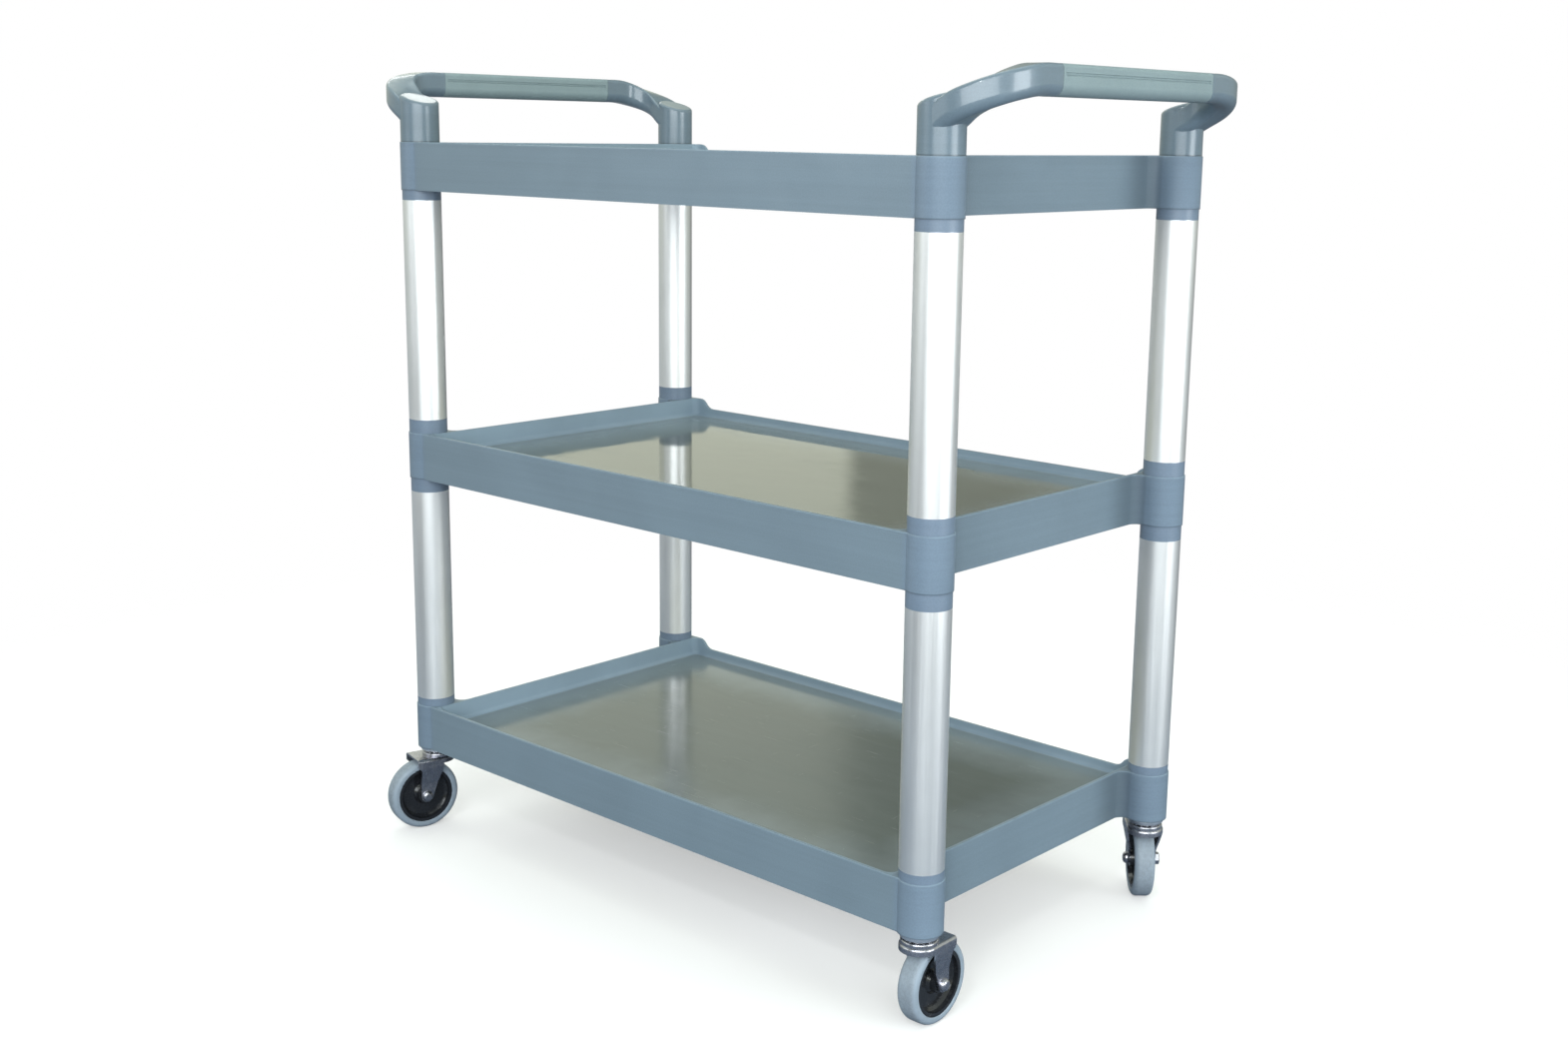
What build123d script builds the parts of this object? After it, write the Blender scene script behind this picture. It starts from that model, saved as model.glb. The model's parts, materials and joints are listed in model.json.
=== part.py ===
"""Three-tier food service trolley: moulded shelves on aluminium posts, two push handles, four swivel casters.

Millimetres. X runs along the trolley, Y across it and Z up. The origin is on the floor, under the middle.
The back long wall of each shelf, on the +Y side, is the low one.
"""
from build123d import *
from math import atan2, cos, pi, radians, sin
import os

os.makedirs("parts", exist_ok=True)

# Corners of the trolley, as signs of X and Y.
CORNERS = {
    "front_left": (-1, -1),
    "front_right": (1, -1),
    "back_left": (-1, 1),
    "back_right": (1, 1),
}

# Posts
POST_SPACING_X = 810.0
POST_SPACING_Y = 430.0
TUBE_RADIUS = 23.5
TUBE_WALL = 1.5
TUBE_LENGTH = 272.0
FIT_GAP = 0.05  # radial gap of every pushed-in fit
NEAR = 0.01  # tolerance for finding a corner or an edge by its place

# Shelves
SHELF_HEIGHT = 58.0
BOTTOM_SHELF_Z = 108.0
LOWER_COLLAR_BOTTOM = 10.0
LOWER_COLLAR_TOP = 17.0
UPPER_COLLAR_BOTTOM = 17.0
UPPER_COLLAR_TOP = 12.0
TRAY_HALF_X = POST_SPACING_X / 2 - 22.0
TRAY_HALF_Y = POST_SPACING_Y / 2 + 20.0
WALL = 3.6
DECK_DEPTH = 25.0
DECK_THICKNESS = 3.0
BOSS_RADIUS = 24.5
BOSS_BORE_RADIUS = 21.0
BOSS_FILLET = 12.0
TRAY_CORNER_RADIUS = 10.0
TRAY_FLOOR_RADIUS = 6.0
RIM_ROUND = 0.9
LOW_WALL_DROP = 13.0
LOW_WALL_RAMP = 26.0
LOW_WALL_END_GAP = 10.0
RIB_THICKNESS = 2.5
RIB_SETBACK = 9.0
RIB_CELLS_X = 9
RIB_CELLS_Y = 5

# Tube plugs
SPIGOT_IN_BOSS = 26.0
SPIGOT_IN_TUBE = 30.0
PLUG_BORE_RADIUS = 16.0
PLUG_CHAMFER = 1.0

# Handles
HANDLE_OVERHANG = 66.0  # from the posts' axis to the middle of the grip
ELBOW_RADIUS = 45.0
ARM_RISE_START = 14.0  # height of the arm's underside above the top shelf, at the post
ARM_RISE_END = 55.5  # the same, along the grip
ARM_RISE_LENGTH = 108.0
ARM_EASE = 1.87
ARM_WIDTH_AT_POST = 46.4
GRIP_WIDTH = 29.0
GRIP_HEIGHT = 30.5
GRIP_TOP_ROUND = 11.0
GRIP_BOTTOM_ROUND = 4.0
GRIP_HALF_LENGTH = 137.0
GRIP_END_GAP = 0.4
CORE_INSET = 3.0
POST_CAP_HEIGHT = 53.0
POST_CAP_SLOPE = 17.0  # degrees
POST_CAP_ROUND = 4.0
GROOVE_RADIUS = 0.7
GROOVE_END_GAP = 4.0
GROOVE_ANGLES = (50.0, 68.0, 79.0, 90.0)  # from straight up, down each side of the grip's crown
ARM_STATIONS = 11

# Casters, drawn with the swivel axis at the origin and the wheel trailing towards +X
WHEEL_RADIUS = 45.0
TREAD_WIDTH = 24.0
TREAD_SHOULDER = 6.0
TREAD_LIP = 1.0
TRAIL = 22.0
HUB_RADIUS = 36.0
HUB_WIDTH = 22.0
HUB_BOSS_RADIUS = 10.0
HUB_BOSS_WIDTH = 26.0
HUB_WEB = 6.0
HUB_RIM = 4.0
HUB_DRAFT = 1.0  # how far the boss and the rim lean towards the web
HUB_FOOT = 3.0  # sloping foot where they meet it
SLEEVE_RADIUS = 6.0
AXLE_RADIUS = 4.0
BOLT_HEAD_RADIUS = 7.0
BOLT_HEAD_HEIGHT = 4.5
BOLT_HEAD_ROUND = 4.2
NUT_RADIUS = 7.5
NUT_HEIGHT = 6.0
NUT_CHAMFER = 1.0
RUNNING_GAP = 0.06
FORK_SHEET = 2.5
FORK_CROWN_Z = 96.0
FORK_CROWN_RADIUS = 21.5
FORK_CORNER = 3.5
FORK_REAR = 35.0
FORK_CUP_Z = 88.0  # lower edge of the crown's round front
FORK_SKIRT_Z = 86.0  # lower edge of its sides, behind the legs
FORK_SHOULDER_Z = 84.0  # the legs lean in from here
FORK_WAIST_Z = 62.0  # down to here, and are upright below
FORK_BEND = 12.0
FORK_INNER_WIDTH = 28.0  # between the legs, at the axle
LEG_KNEE = (3.0, 74.0)
LEG_KNEE_ROUND = 14.0
LEG_EYE_RADIUS = 8.0
RACE_RADIUS = 20.0
RACE_TOP_Z = 100.4
RACE_ROUND = 2.2
CAP_BOTTOM_Z = 102.2
CAP_RADIUS = 21.0
CAP_ROUND = 1.8
BALL_CIRCLE_RADIUS = 14.5
BALL_RADIUS = 2.2
BALL_TRACK_RADIUS = 2.5
BALL_COUNT = 14
STEM_RADIUS = 5.5
STEM_TOP_Z = 148.0
STEM_HEAD_RADIUS = 8.5
STEM_HEAD_Z = 89.3
STEM_HEAD_GAP = 0.4
STEM_HEAD_ROUND = 3.0
SOCKET_TOP_Z = 134.0
# Heading of each wheel behind its swivel, and the side that its axle bolt's head is on
SWIVEL_ANGLES = {"front_left": -104.0, "front_right": 91.0, "back_left": 104.0, "back_right": 130.0}
BOLT_HEAD_SIDES = {"front_left": 1, "front_right": -1, "back_left": -1, "back_right": 1}

# Heights worked out from the stack: shelf, collar, tube, collar, shelf and so on
LOWER_TUBE_Z = BOTTOM_SHELF_Z + SHELF_HEIGHT + LOWER_COLLAR_BOTTOM
MIDDLE_SHELF_Z = LOWER_TUBE_Z + TUBE_LENGTH + LOWER_COLLAR_TOP
UPPER_TUBE_Z = MIDDLE_SHELF_Z + SHELF_HEIGHT + UPPER_COLLAR_BOTTOM
TOP_SHELF_Z = UPPER_TUBE_Z + TUBE_LENGTH + UPPER_COLLAR_TOP
HANDLE_Z = TOP_SHELF_Z + SHELF_HEIGHT


def write(name, solids):
    """Write one node: a single solid, or a list of identical ones."""
    shape = Compound(children=list(solids)) if isinstance(solids, list) else solids
    export_step(shape, f"parts/{name}.step")


def post_at(corner, z=0.0):
    """Place on the floor plan of a corner's post."""
    side_x, side_y = CORNERS[corner]
    return Pos(side_x * POST_SPACING_X / 2, side_y * POST_SPACING_Y / 2, z)


def at_all_posts(solid, z=0.0):
    return [post_at(corner, z) * solid for corner in CORNERS]


def cylinder_up(radius, height, z=0.0):
    return Pos(0, 0, z) * extrude(Circle(radius), height)


# ---- Shelves ----


def shelf_outline():
    """Plan of a shelf: the tray, and a boss outside each end of both long walls."""
    outline = Rectangle(2 * TRAY_HALF_X, 2 * TRAY_HALF_Y)
    bridge_depth = TRAY_HALF_Y - POST_SPACING_Y / 2
    bridge_reach = (BOSS_RADIUS**2 - bridge_depth**2) ** 0.5
    bridge_length = POST_SPACING_X / 2 - bridge_reach - TRAY_HALF_X + TRAY_CORNER_RADIUS
    bridge_x = POST_SPACING_X / 2 - bridge_reach - bridge_length / 2
    bridge_y = TRAY_HALF_Y - bridge_depth / 2
    for side_x, side_y in CORNERS.values():
        outline += Pos(side_x * bridge_x, side_y * bridge_y) * Rectangle(bridge_length, bridge_depth)
        outline += Pos(side_x * POST_SPACING_X / 2, side_y * POST_SPACING_Y / 2) * Circle(BOSS_RADIUS)
    inner_corners = [v for v in outline.vertices() if abs(abs(v.X) - TRAY_HALF_X) < NEAR]
    return fillet(inner_corners, BOSS_FILLET)


def tray_hollow():
    """The space above the deck, with a rounded foot all round."""
    plan = RectangleRounded(2 * (TRAY_HALF_X - WALL), 2 * (TRAY_HALF_Y - WALL), TRAY_CORNER_RADIUS)
    hollow = Pos(0, 0, SHELF_HEIGHT - DECK_DEPTH) * extrude(plan, DECK_DEPTH + 1)
    return fillet(hollow.faces().sort_by(Axis.Z)[0].edges(), TRAY_FLOOR_RADIUS)


def rib_cells():
    """The pockets between the stiffening ribs under the deck."""
    inner_x = 2 * (TRAY_HALF_X - WALL)
    inner_y = 2 * (TRAY_HALF_Y - WALL)
    cell_x = (inner_x - (RIB_CELLS_X - 1) * RIB_THICKNESS) / RIB_CELLS_X
    cell_y = (inner_y - (RIB_CELLS_Y - 1) * RIB_THICKNESS) / RIB_CELLS_Y
    grid = GridLocations(cell_x + RIB_THICKNESS, cell_y + RIB_THICKNESS, RIB_CELLS_X, RIB_CELLS_Y)
    under_deck = SHELF_HEIGHT - DECK_DEPTH - DECK_THICKNESS
    cells = extrude(Sketch() + grid * Rectangle(cell_x, cell_y), under_deck)
    return cells + extrude(Rectangle(inner_x, inner_y), RIB_SETBACK)


def low_wall_cut():
    """What is taken off the top of the back wall: a long drop with an S-shaped ramp at each end."""
    outer_x = TRAY_HALF_X - LOW_WALL_END_GAP
    inner_x = outer_x - LOW_WALL_RAMP
    bottom = SHELF_HEIGHT - LOW_WALL_DROP
    middle = SHELF_HEIGHT - LOW_WALL_DROP / 2
    above = SHELF_HEIGHT + 5
    half_ramp = LOW_WALL_RAMP / 2
    profile = Line((-inner_x, bottom), (inner_x, bottom))
    for side in (1, -1):
        start = (side * inner_x, bottom)
        centre = (side * (inner_x + half_ramp), middle)
        end = (side * outer_x, SHELF_HEIGHT)
        profile += TangentArc(start, centre, tangent=(side, 0))
        profile += TangentArc(end, centre, tangent=(-side, 0))
        profile += Line(end, (side * outer_x, above))
    profile += Line((-outer_x, above), (outer_x, above))
    face = make_face(profile)
    depth = 2 * WALL
    return extrude(Plane((0, TRAY_HALF_Y + WALL / 2, 0), x_dir=(1, 0, 0), z_dir=(0, -1, 0)) * face, depth)


def make_shelf(z):
    shelf = extrude(shelf_outline(), SHELF_HEIGHT)
    shelf -= tray_hollow()
    shelf -= rib_cells()
    for corner in CORNERS:
        shelf -= post_at(corner) * cylinder_up(BOSS_BORE_RADIUS, SHELF_HEIGHT)
    rim = shelf.faces().sort_by(Axis.Z)[-1]
    shelf = fillet(rim.outer_wire().edges(), RIM_ROUND)
    shelf -= low_wall_cut()
    return Pos(0, 0, z) * shelf


# ---- Posts ----


def make_tube():
    tube = cylinder_up(TUBE_RADIUS, TUBE_LENGTH)
    return tube - cylinder_up(TUBE_RADIUS - TUBE_WALL, TUBE_LENGTH)


def make_plug(collar, tube_above):
    """A plug between a boss and a tube. Z 0 is the shelf's face, and the tube is above it or below it."""
    tube_spigot = TUBE_RADIUS - TUBE_WALL - FIT_GAP
    boss_spigot = BOSS_BORE_RADIUS - FIT_GAP
    plug = cylinder_up(TUBE_RADIUS, collar)
    plug += cylinder_up(tube_spigot, SPIGOT_IN_TUBE, collar)
    plug += cylinder_up(boss_spigot, SPIGOT_IN_BOSS, -SPIGOT_IN_BOSS)
    ends = plug.edges().sort_by(Axis.Z)
    plug = chamfer([ends[0], ends[-1]], PLUG_CHAMFER)
    length = SPIGOT_IN_TUBE + collar + SPIGOT_IN_BOSS
    plug -= cylinder_up(PLUG_BORE_RADIUS, length, -SPIGOT_IN_BOSS)
    return plug if tube_above else Rot(180, 0, 0) * plug


# ---- Handles, drawn at the origin for the +X end ----


def arm_place(travel):
    """Point on the arm's centre line, as seen from above, and its heading. Travel starts at the post."""
    straight = HANDLE_OVERHANG - ELBOW_RADIUS
    turned = min(max(travel - straight, 0.0) / ELBOW_RADIUS, pi / 2)
    past_elbow = max(travel - straight - ELBOW_RADIUS * pi / 2, 0.0)
    x = min(travel, straight) + ELBOW_RADIUS * sin(turned)
    y = POST_SPACING_Y / 2 - ELBOW_RADIUS * (1 - cos(turned)) - past_elbow
    return x, y, turned


def arm_underside(travel):
    left = max(1 - travel / ARM_RISE_LENGTH, 0.0)
    return ARM_RISE_START + (ARM_RISE_END - ARM_RISE_START) * (1 - left**ARM_EASE)


def arm_width(travel):
    left = max(1 - travel / (HANDLE_OVERHANG + ELBOW_RADIUS / 2), 0.0)
    return GRIP_WIDTH + (ARM_WIDTH_AT_POST - GRIP_WIDTH) * left**2 * (3 - 2 * left)


def grip_section(width, inset=0.0):
    """Cross-section of the arm and grip: flat sides, a flat underside and a crowned top."""
    section = Rectangle(width - 2 * inset, GRIP_HEIGHT - 2 * inset)
    rows = section.vertices().group_by(Axis.Y)
    section = fillet(rows[-1], GRIP_TOP_ROUND - inset)
    return fillet(section.vertices().group_by(Axis.Y)[0], max(GRIP_BOTTOM_ROUND - inset, 1.0))


def arm_section(travel):
    x, y, turned = arm_place(travel)
    middle = arm_underside(travel) + GRIP_HEIGHT / 2
    along = (cos(turned), -sin(turned), 0)
    across = (-sin(turned), -cos(turned), 0)
    return Plane((x, y, middle), x_dir=across, z_dir=along) * grip_section(arm_width(travel))


def make_arm():
    """The arm on the +Y side: from its post round the elbow to the seam with the grip."""
    seam = HANDLE_OVERHANG - ELBOW_RADIUS + ELBOW_RADIUS * pi / 2
    seam += POST_SPACING_Y / 2 - ELBOW_RADIUS - GRIP_HALF_LENGTH
    stations = [seam * i / (ARM_STATIONS - 1) for i in range(ARM_STATIONS)]
    return loft([arm_section(travel) for travel in stations])


def make_handle_post():
    """The upright end of the handle, with its sloping cap, and the spigot that goes down into the boss."""
    post = cylinder_up(TUBE_RADIUS, POST_CAP_HEIGHT + TUBE_RADIUS)
    cap = Pos(0, 0, POST_CAP_HEIGHT) * Rot(0, -POST_CAP_SLOPE, 0) * Box(
        4 * TUBE_RADIUS, 4 * TUBE_RADIUS, 2 * TUBE_RADIUS, align=(Align.CENTER, Align.CENTER, Align.MIN)
    )
    post -= cap
    post = fillet(post.faces().sort_by(Axis.Z)[-1].edges(), POST_CAP_ROUND)
    post += cylinder_up(BOSS_BORE_RADIUS - FIT_GAP, SPIGOT_IN_BOSS, -SPIGOT_IN_BOSS)
    return Pos(0, POST_SPACING_Y / 2, 0) * post


def grip_bar(inset, half_length):
    """The straight stretch between the seams, as a bar."""
    middle = ARM_RISE_END + GRIP_HEIGHT / 2
    start = Plane((HANDLE_OVERHANG, half_length, middle), x_dir=(-1, 0, 0), z_dir=(0, -1, 0))
    return extrude(start * grip_section(GRIP_WIDTH, inset), 2 * half_length)


def make_handle():
    end = make_handle_post() + make_arm()
    other_end = mirror(end, Plane.XZ)
    return end + other_end + grip_bar(CORE_INSET, GRIP_HALF_LENGTH + 1)


def make_grip():
    """The soft sleeve round the handle's core, with grooves along its crown."""
    half_length = GRIP_HALF_LENGTH - GRIP_END_GAP
    grip = grip_bar(0.0, half_length) - grip_bar(CORE_INSET - FIT_GAP, half_length)
    centre_z = ARM_RISE_END + GRIP_HEIGHT - GRIP_TOP_ROUND
    groove_length = 2 * (half_length - GROOVE_END_GAP)
    for angle in GROOVE_ANGLES:
        out = GRIP_WIDTH / 2 - GRIP_TOP_ROUND + GRIP_TOP_ROUND * sin(radians(angle))
        z = centre_z + GRIP_TOP_ROUND * cos(radians(angle))
        for x in (HANDLE_OVERHANG - out, HANDLE_OVERHANG + out):
            grip -= Pos(x, 0, z) * Rot(90, 0, 0) * Cylinder(GROOVE_RADIUS, groove_length)
    return grip


def at_end(solid, side):
    """Put a handle piece, drawn for the +X end, on either end of the top shelf."""
    turn = 0 if side > 0 else 180
    return Rot(0, 0, turn) * Pos(POST_SPACING_X / 2, 0, HANDLE_Z) * solid


# ---- Casters ----


def ball_track():
    profile = Pos(BALL_CIRCLE_RADIUS, (RACE_TOP_Z + CAP_BOTTOM_Z) / 2) * Circle(BALL_TRACK_RADIUS)
    return revolve(Plane.XZ * profile, Axis.Z)


def make_caster_socket():
    """Plastic insert in the bottom boss, which the stem is driven into."""
    height = SOCKET_TOP_Z - BOTTOM_SHELF_Z
    socket = cylinder_up(BOSS_BORE_RADIUS - FIT_GAP, height, BOTTOM_SHELF_Z)
    socket = chamfer(socket.edges().sort_by(Axis.Z)[-1], PLUG_CHAMFER)
    return socket - cylinder_up(STEM_RADIUS + FIT_GAP, height, BOTTOM_SHELF_Z)


def make_stem():
    """The caster's fixed pin: a riveted head below the fork and a long shank up into the socket."""
    head_height = FORK_CROWN_Z - FORK_SHEET - STEM_HEAD_GAP - STEM_HEAD_Z
    stem = cylinder_up(STEM_HEAD_RADIUS, head_height, STEM_HEAD_Z)
    stem = fillet(stem.edges().sort_by(Axis.Z)[0], STEM_HEAD_ROUND)
    stem += cylinder_up(STEM_RADIUS, STEM_TOP_Z - STEM_HEAD_Z, STEM_HEAD_Z)
    return chamfer(stem.edges().sort_by(Axis.Z)[-1], PLUG_CHAMFER)


def make_bearing_cap():
    """The fixed upper race, a rounded ring tight under the boss."""
    height = BOTTOM_SHELF_Z - CAP_BOTTOM_Z
    cap = cylinder_up(CAP_RADIUS, height, CAP_BOTTOM_Z)
    cap = fillet(cap.edges(), CAP_ROUND)
    cap -= cylinder_up(STEM_RADIUS + FIT_GAP, height, CAP_BOTTOM_Z)
    return cap - ball_track()


def make_fork_race():
    """The lower race, sunk into the fork's crown by half its sheet."""
    bottom = FORK_CROWN_Z - FORK_SHEET / 2
    race = cylinder_up(RACE_RADIUS, RACE_TOP_Z - bottom, bottom)
    race = fillet(race.edges().sort_by(Axis.Z)[-1], RACE_ROUND)
    return race - ball_track()


def fork_outline(inset):
    """The pressed sheet seen from behind, pulled in by an inset: 0 for its outside."""
    crown_half = FORK_CROWN_RADIUS - inset
    axle_half = FORK_INNER_WIDTH / 2 + FORK_SHEET - inset
    top = FORK_CROWN_Z - inset
    half = [(axle_half, 0), (axle_half, FORK_WAIST_Z), (crown_half, FORK_SHOULDER_Z), (crown_half, top)]
    other_half = [(-y, z) for y, z in reversed(half)]
    outline = make_face(Polyline(*half, *other_half, close=True))
    levels = outline.vertices().group_by(Axis.Y)
    outline = fillet(levels[-1], FORK_CORNER - inset)
    bends = [v for v in outline.vertices() if FORK_WAIST_Z - NEAR < v.Y < FORK_SHOULDER_Z + NEAR]
    return fillet(bends, FORK_BEND)


def leg_side_view():
    """The fork's skirt and one leg: an upright rear edge, and a front edge that tapers to the axle eye."""
    rear = TRAIL + LEG_EYE_RADIUS
    knee_x, knee_z = LEG_KNEE
    slope = atan2(WHEEL_RADIUS - knee_z, TRAIL - knee_x) - pi / 2
    touch = (TRAIL + LEG_EYE_RADIUS * cos(slope), WHEEL_RADIUS + LEG_EYE_RADIUS * sin(slope))
    skirt_step = FORK_REAR - rear
    points = [(0, FORK_CROWN_Z), (0, FORK_CUP_Z), LEG_KNEE, touch]
    points += [(TRAIL, WHEEL_RADIUS), (rear, WHEEL_RADIUS), (rear, FORK_SKIRT_Z - skirt_step)]
    points += [(FORK_REAR, FORK_SKIRT_Z), (FORK_REAR, FORK_CROWN_Z)]
    blade = make_face(Polyline(*points, close=True))
    knee = [v for v in blade.vertices() if abs(v.X - knee_x) < NEAR and abs(v.Y - knee_z) < NEAR]
    return fillet(knee, LEG_KNEE_ROUND) + Pos(TRAIL, WHEEL_RADIUS) * Circle(LEG_EYE_RADIUS)


def make_fork_cup():
    """Round front half of the crown."""
    height = FORK_CROWN_Z - FORK_CUP_Z
    cup = cylinder_up(FORK_CROWN_RADIUS, height, FORK_CUP_Z)
    cup = fillet(cup.edges().sort_by(Axis.Z)[-1], FORK_CORNER)
    hollow = cylinder_up(FORK_CROWN_RADIUS - FORK_SHEET, height - FORK_SHEET, FORK_CUP_Z)
    hollow = fillet(hollow.edges().sort_by(Axis.Z)[-1], FORK_CORNER - FORK_SHEET)
    width = 2 * FORK_CROWN_RADIUS
    front = Pos(0, 0, FORK_CUP_Z) * Box(width, width, height, align=(Align.MAX, Align.CENTER, Align.MIN))
    return (cup - hollow) & front


def make_fork():
    """Pressed steel fork: a crown with a round front, two legs that lean in, and the lower race."""
    from_behind = Plane.YZ * (fork_outline(0) - fork_outline(FORK_SHEET))
    from_the_side = Plane((0, -FORK_CROWN_RADIUS, 0), x_dir=(1, 0, 0), z_dir=(0, -1, 0)) * leg_side_view()
    fork = extrude(from_behind, FORK_REAR) & extrude(from_the_side, -2 * FORK_CROWN_RADIUS)
    fork += make_fork_cup()
    fork += make_fork_race()
    fork -= cylinder_up(STEM_RADIUS + RUNNING_GAP, RACE_TOP_Z - FORK_CUP_Z, FORK_CUP_Z)
    axle = Cylinder(AXLE_RADIUS + FIT_GAP, 2 * FORK_CROWN_RADIUS)
    return fork - Pos(TRAIL, 0, WHEEL_RADIUS) * Rot(90, 0, 0) * axle


def make_balls():
    height = (RACE_TOP_Z + CAP_BOTTOM_Z) / 2
    balls = []
    for i in range(BALL_COUNT):
        turn = 2 * pi * i / BALL_COUNT
        place = Pos(BALL_CIRCLE_RADIUS * cos(turn), BALL_CIRCLE_RADIUS * sin(turn), height)
        balls.append(place * Sphere(BALL_RADIUS))
    return balls


def round_piece(points):
    """A solid turned about the axle from half its section: (radius, distance along the axle) pairs."""
    half = make_face(Polyline(*points, close=True))
    return Pos(TRAIL, 0, WHEEL_RADIUS) * Rot(90, 0, 0) * revolve(Plane.XZ * half, Axis.Z)


def make_sleeve():
    """Spacer tube between the legs, which the hub turns on."""
    half = FORK_INNER_WIDTH / 2
    inner = AXLE_RADIUS + FIT_GAP
    return round_piece([(inner, -half), (SLEEVE_RADIUS, -half), (SLEEVE_RADIUS, half), (inner, half)])


def make_axle_bolt():
    """Domed head on the -Y side, and a shank through both legs into the nut. The axle's middle is at 0."""
    outer = FORK_INNER_WIDTH / 2 + FORK_SHEET
    head = cylinder_up(BOLT_HEAD_RADIUS, BOLT_HEAD_HEIGHT, outer)
    head = fillet(head.edges().sort_by(Axis.Z)[-1], BOLT_HEAD_ROUND)
    shank = cylinder_up(AXLE_RADIUS, 2 * outer + NUT_HEIGHT, -outer - NUT_HEIGHT)
    return Rot(90, 0, 0) * (head + shank)


def make_axle_nut():
    """Hexagon nut on the far end of the axle bolt, on the +Y side."""
    bottom = -FORK_INNER_WIDTH / 2 - FORK_SHEET - NUT_HEIGHT
    nut = Pos(0, 0, bottom) * extrude(RegularPolygon(NUT_RADIUS, 6), NUT_HEIGHT)
    nut = chamfer(nut.faces().sort_by(Axis.Z)[0].edges(), NUT_CHAMFER)
    return Rot(90, 0, 0) * (nut - cylinder_up(AXLE_RADIUS + FIT_GAP, NUT_HEIGHT, bottom))


def make_hub():
    """Moulded wheel centre: rim, dished web and a bearing boss that runs on the sleeve."""
    bore = SLEEVE_RADIUS + RUNNING_GAP
    boss, boss_half = HUB_BOSS_RADIUS, HUB_BOSS_WIDTH / 2
    web_half = HUB_WEB / 2
    rim_inner, rim_outer = HUB_RADIUS - HUB_RIM, HUB_RADIUS
    rim_half = HUB_WIDTH / 2
    boss_foot = boss + HUB_DRAFT
    rim_foot = rim_inner - HUB_DRAFT
    foot_half = web_half + HUB_FOOT
    side = [(bore, boss_half), (boss, boss_half), (boss_foot, foot_half), (boss_foot + HUB_FOOT, web_half)]
    side += [(rim_foot - HUB_FOOT, web_half), (rim_foot, foot_half)]
    side += [(rim_inner, rim_half), (rim_outer, rim_half)]
    other_side = [(radius, -along) for radius, along in reversed(side)]
    return round_piece(side + other_side)


def make_tyre():
    """Grey tread ring moulded round the hub, with rounded shoulders."""
    inner = HUB_RADIUS + FIT_GAP
    half = TREAD_WIDTH / 2
    tyre = round_piece([(inner, -half), (WHEEL_RADIUS, -half), (WHEEL_RADIUS, half), (inner, half)])
    circles = tyre.edges().filter_by(GeomType.CIRCLE)
    tyre = fillet([edge for edge in circles if edge.radius > inner + NEAR], TREAD_SHOULDER)
    circles = tyre.edges().filter_by(GeomType.CIRCLE)
    return fillet([edge for edge in circles if edge.radius < inner + NEAR], TREAD_LIP)


def write_shelves_and_posts():
    write("bottom_shelf", make_shelf(BOTTOM_SHELF_Z))
    write("middle_shelf", make_shelf(MIDDLE_SHELF_Z))
    write("top_shelf", make_shelf(TOP_SHELF_Z))
    tube = make_tube()
    for corner in CORNERS:
        write(f"lower_tube_{corner}", post_at(corner, LOWER_TUBE_Z) * tube)
        write(f"upper_tube_{corner}", post_at(corner, UPPER_TUBE_Z) * tube)
    bottom_top = BOTTOM_SHELF_Z + SHELF_HEIGHT
    middle_top = MIDDLE_SHELF_Z + SHELF_HEIGHT
    write("bottom_shelf_tube_plugs", at_all_posts(make_plug(LOWER_COLLAR_BOTTOM, True), bottom_top))
    write("middle_shelf_lower_tube_plugs", at_all_posts(make_plug(LOWER_COLLAR_TOP, False), MIDDLE_SHELF_Z))
    write("middle_shelf_upper_tube_plugs", at_all_posts(make_plug(UPPER_COLLAR_BOTTOM, True), middle_top))
    write("top_shelf_tube_plugs", at_all_posts(make_plug(UPPER_COLLAR_TOP, False), TOP_SHELF_Z))


def write_handles():
    handle = make_handle()
    grip = make_grip()
    for name, side in (("left", -1), ("right", 1)):
        write(f"handle_{name}", at_end(handle, side))
        write(f"handle_grip_{name}", at_end(grip, side))


def write_casters():
    write("caster_sockets", at_all_posts(make_caster_socket()))
    write("caster_stems", at_all_posts(make_stem()))
    write("caster_bearing_caps", at_all_posts(make_bearing_cap()))
    balls = make_balls()
    axle_set = {"axle_bolt": make_axle_bolt(), "axle_nut": make_axle_nut()}
    pieces = {
        "caster_fork": make_fork(),
        "axle_sleeve": make_sleeve(),
        "wheel_hub": make_hub(),
        "wheel_tyre": make_tyre(),
    }
    for corner in CORNERS:
        place = post_at(corner) * Rot(0, 0, SWIVEL_ANGLES[corner])
        write(f"caster_balls_{corner}", [place * ball for ball in balls])
        for name, shape in pieces.items():
            write(f"{name}_{corner}", place * shape)
        half_turn = Rot(0, 0, 90 + 90 * BOLT_HEAD_SIDES[corner])
        for name, shape in axle_set.items():
            write(f"{name}_{corner}", place * Pos(TRAIL, 0, WHEEL_RADIUS) * half_turn * shape)


write_shelves_and_posts()
write_handles()
write_casters()
print("height", HANDLE_Z + ARM_RISE_END + GRIP_HEIGHT)
print("length over the grips", POST_SPACING_X + 2 * HANDLE_OVERHANG + GRIP_WIDTH)
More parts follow.
